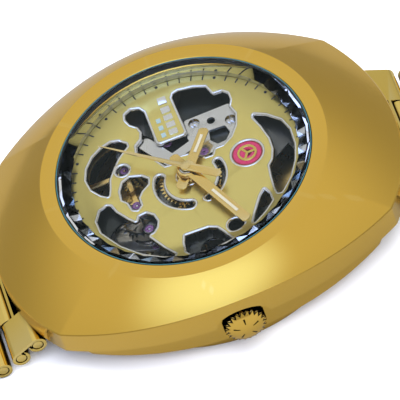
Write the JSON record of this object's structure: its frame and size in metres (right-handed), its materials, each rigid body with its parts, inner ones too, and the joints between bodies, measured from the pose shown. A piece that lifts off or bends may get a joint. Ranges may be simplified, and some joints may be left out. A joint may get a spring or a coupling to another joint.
{
  "type": "skeleton wristwatch",
  "caption": "Automatic wristwatch with an oval gold case, faceted crystal, openworked dial over its gear train, and a folded-link bracelet laid open.",
  "frame": {"origin": "centre of the flat outer face of the case back", "axes": "+X towards the crown at three o'clock, +Y towards twelve o'clock along the bracelet, +Z out of the dial"},
  "size_m": [0.0383, 0.2023, 0.0119],
  "materials": {
    "gold_polished": "polished gold plating",
    "gold_hands": "polished gold",
    "gold_dial": "sunray brushed pale gold",
    "crystal": "clear sapphire",
    "black_rubber": "matte",
    "black_print": "printed",
    "silver_parts": "fine brushed rhodium",
    "steel_parts": "polished steel",
    "dark_plate": "black plated",
    "emblem_lacquer": "lacquer with gold relief",
    "jewel_ruby": "synthetic ruby",
    "blue_steel": "blued",
    "brass": "gilt brass"
  },
  "bodies": {
    "case": {"bezel": "gold_polished", "crystal": "crystal", "crystal_gasket": "black_rubber", "rehaut_ring": "gold_dial", "case_body": "gold_polished", "case_back": "gold_polished", "back_crystal": "crystal", "back_gasket": "black_rubber", "crown_tube": "steel_parts", "dial": "gold_dial", "dial_markers": "black_print", "dial_blocks": "silver_parts", "main_plate": "dark_plate", "dial_side_bridge": "silver_parts", "train_bridge": "silver_parts", "barrel_bridge": "silver_parts", "balance_cock": "silver_parts", "jewels": "jewel_ruby", "bridge_screws": "steel_parts", "hairspring": "blue_steel", "rotor_bearing": "steel_parts", "movement_clamps": "steel_parts", "end_link_12": "gold_polished", "end_link_6": "gold_polished", "spring_bars": "steel_parts"},
    "seconds": {"seconds_arbor": "steel_parts", "seconds_hand": "gold_hands"},
    "centre": {"centre_wheel": "brass", "cannon_pinion": "steel_parts", "minute_hand": "gold_hands"},
    "hours": {"hour_wheel": "brass", "hour_hand": "gold_hands"},
    "minute_work": {"minute_wheel": "brass"},
    "third": {"third_wheel": "brass"},
    "fourth": {"fourth_wheel": "brass"},
    "idler": {"sweep_idler": "brass"},
    "escape": {"escape_wheel": "steel_parts"},
    "barrel_drum": {"barrel": "brass", "mainspring": "steel_parts"},
    "balance": {"balance_wheel": "gold_hands"},
    "pallets": {"pallet_fork": "steel_parts"},
    "oscillating_weight": {"rotor": "silver_parts"},
    "emblem": {"emblem_disc": "emblem_lacquer"},
    "clutch": {"sliding_clutch": "steel_parts"},
    "crown_and_stem": {"crown": "gold_polished", "winding_stem": "steel_parts"},
    "ratchet": {"ratchet_wheel": "steel_parts"},
    "click_lever": {"click": "gold_hands"},
    "setting": {"setting_lever": "dark_plate"},
    "band_12_a": {"links_12_a": "gold_polished"},
    "band_12_b": {"links_12_b": "gold_polished"},
    "band_12_c": {"links_12_c": "gold_polished"},
    "band_12_d": {"links_12_d": "gold_polished"},
    "band_6_a": {"links_6_a": "gold_polished"},
    "band_6_b": {"links_6_b": "gold_polished"},
    "band_6_c": {"links_6_c": "gold_polished"},
    "band_6_d": {"links_6_d": "gold_polished"},
    "anchor": {"clasp_anchor": "gold_polished"},
    "cover": {"clasp_cover": "gold_polished"},
    "arm": {"clasp_arm": "gold_polished"}
  },
  "joints": [
    {"name": "seconds_turn", "type": "hinge", "parent": "case", "child": "seconds", "pos_m": [0, 0, 0.005], "axis": [0, 0, 1], "continuous": true},
    {"name": "centre_turn", "type": "hinge", "parent": "case", "child": "centre", "pos_m": [0, 0, 0.005], "axis": [0, 0, 1], "continuous": true},
    {"name": "hour_turn", "type": "hinge", "parent": "case", "child": "hours", "pos_m": [0, 0, 0.0075], "axis": [0, 0, 1], "continuous": true},
    {"name": "minute_work_turn", "type": "hinge", "parent": "case", "child": "minute_work", "pos_m": [0.004, 0.0007, 0.0074], "axis": [0, 0, 1], "continuous": true},
    {"name": "third_turn", "type": "hinge", "parent": "case", "child": "third", "pos_m": [-0.0062, -0.001, 0.005], "axis": [0, 0, 1], "continuous": true},
    {"name": "fourth_turn", "type": "hinge", "parent": "case", "child": "fourth", "pos_m": [-0.00475, -0.00625, 0.005], "axis": [0, 0, 1], "continuous": true},
    {"name": "idler_turn", "type": "hinge", "parent": "case", "child": "idler", "pos_m": [-0.00237, -0.00313, 0.0035], "axis": [0, 0, 1], "continuous": true},
    {"name": "escape_turn", "type": "hinge", "parent": "case", "child": "escape", "pos_m": [0.0004, -0.0063, 0.005], "axis": [0, 0, 1], "continuous": true},
    {"name": "barrel_turn", "type": "hinge", "parent": "case", "child": "barrel_drum", "pos_m": [0.0019, 0.0059, 0.005], "axis": [0, 0, 1], "continuous": true},
    {"name": "balance_swing", "type": "hinge", "parent": "case", "child": "balance", "pos_m": [0.007, -0.0044, 0.005], "axis": [0, 0, 1], "range_deg": [-270, 270], "stiffness_Nm_per_rad": 0.0000005},
    {"name": "pallet_rock", "type": "hinge", "parent": "case", "child": "pallets", "pos_m": [0.004, -0.0059, 0.005], "axis": [0, 0, 1], "range_deg": [-3, 3]},
    {"name": "rotor_turn", "type": "hinge", "parent": "case", "child": "oscillating_weight", "pos_m": [0, 0, 0.0019], "axis": [0, 0, 1], "continuous": true},
    {"name": "emblem_turn", "type": "hinge", "parent": "case", "child": "emblem", "pos_m": [0, 0.00655, 0.0082], "axis": [0, 0, 1], "continuous": true},
    {"name": "crown_spin", "type": "hinge", "parent": "case", "child": "clutch", "pos_m": [0.01, 0, 0.0056], "axis": [1, 0, 0], "continuous": true},
    {"name": "crown_pull", "type": "slide", "parent": "clutch", "child": "crown_and_stem", "axis": [1, 0, 0], "range_m": [0, 0.0012]},
    {"name": "ratchet_turn", "type": "hinge", "parent": "case", "child": "ratchet", "pos_m": [0.0019, 0.0059, 0.0025], "axis": [0, 0, 1], "continuous": true},
    {"name": "click_swing", "type": "hinge", "parent": "case", "child": "click_lever", "pos_m": [0.0049, 0.00842, 0.0024], "axis": [0, 0, 1], "range_deg": [-12, 0], "stiffness_Nm_per_rad": 0.00001},
    {"name": "setting_swing", "type": "hinge", "parent": "case", "child": "setting", "pos_m": [0.00945, 0.0025, 0.0062], "axis": [0, 0, 1], "range_deg": [0, 14]},
    {"name": "band_12_a_bend", "type": "hinge", "parent": "case", "child": "band_12_a", "pos_m": [0, 0.0212, 0.0032], "axis": [-1, 0, 0], "range_deg": [-10, 35]},
    {"name": "band_12_b_bend", "type": "hinge", "parent": "band_12_a", "child": "band_12_b", "pos_m": [0, 0.03532, 0.001], "axis": [-1, 0, 0], "range_deg": [0, 35]},
    {"name": "band_12_c_bend", "type": "hinge", "parent": "band_12_b", "child": "band_12_c", "pos_m": [0, 0.0499, 0.001], "axis": [-1, 0, 0], "range_deg": [0, 35]},
    {"name": "band_12_d_bend", "type": "hinge", "parent": "band_12_c", "child": "band_12_d", "pos_m": [0, 0.06448, 0.001], "axis": [-1, 0, 0], "range_deg": [0, 35]},
    {"name": "band_6_a_bend", "type": "hinge", "parent": "case", "child": "band_6_a", "pos_m": [0, -0.0212, 0.0032], "axis": [1, 0, 0], "range_deg": [-10, 35]},
    {"name": "band_6_b_bend", "type": "hinge", "parent": "band_6_a", "child": "band_6_b", "pos_m": [0, -0.03532, 0.001], "axis": [1, 0, 0], "range_deg": [0, 35]},
    {"name": "band_6_c_bend", "type": "hinge", "parent": "band_6_b", "child": "band_6_c", "pos_m": [0, -0.0499, 0.001], "axis": [1, 0, 0], "range_deg": [0, 35]},
    {"name": "band_6_d_bend", "type": "hinge", "parent": "band_6_c", "child": "band_6_d", "pos_m": [0, -0.06448, 0.001], "axis": [1, 0, 0], "range_deg": [0, 35]},
    {"name": "anchor_bend", "type": "hinge", "parent": "band_12_d", "child": "anchor", "pos_m": [0, 0.07906, 0.001], "axis": [-1, 0, 0], "range_deg": [0, 35]},
    {"name": "cover_bend", "type": "hinge", "parent": "band_6_d", "child": "cover", "pos_m": [0, -0.07906, 0.001], "axis": [1, 0, 0], "range_deg": [0, 35]},
    {"name": "arm_fold", "type": "hinge", "parent": "cover", "child": "arm", "pos_m": [0, -0.09866, 0.0014], "axis": [1, 0, 0], "range_deg": [0, 90]}
  ],
  "couplings": [
    {"joint": "centre_turn", "follows": "seconds_turn", "ratio": 0.016667},
    {"joint": "hour_turn", "follows": "seconds_turn", "ratio": 0.0013889},
    {"joint": "minute_work_turn", "follows": "seconds_turn", "ratio": -0.0055556},
    {"joint": "third_turn", "follows": "seconds_turn", "ratio": -0.13333},
    {"joint": "fourth_turn", "follows": "seconds_turn", "ratio": 1},
    {"joint": "idler_turn", "follows": "seconds_turn", "ratio": -0.90909},
    {"joint": "escape_turn", "follows": "seconds_turn", "ratio": -10},
    {"joint": "barrel_turn", "follows": "seconds_turn", "ratio": -0.0020833},
    {"joint": "ratchet_turn", "follows": "crown_spin", "ratio": -0.36364},
    {"joint": "setting_swing", "follows": "crown_pull", "rad_per_m": 150}
  ]
}
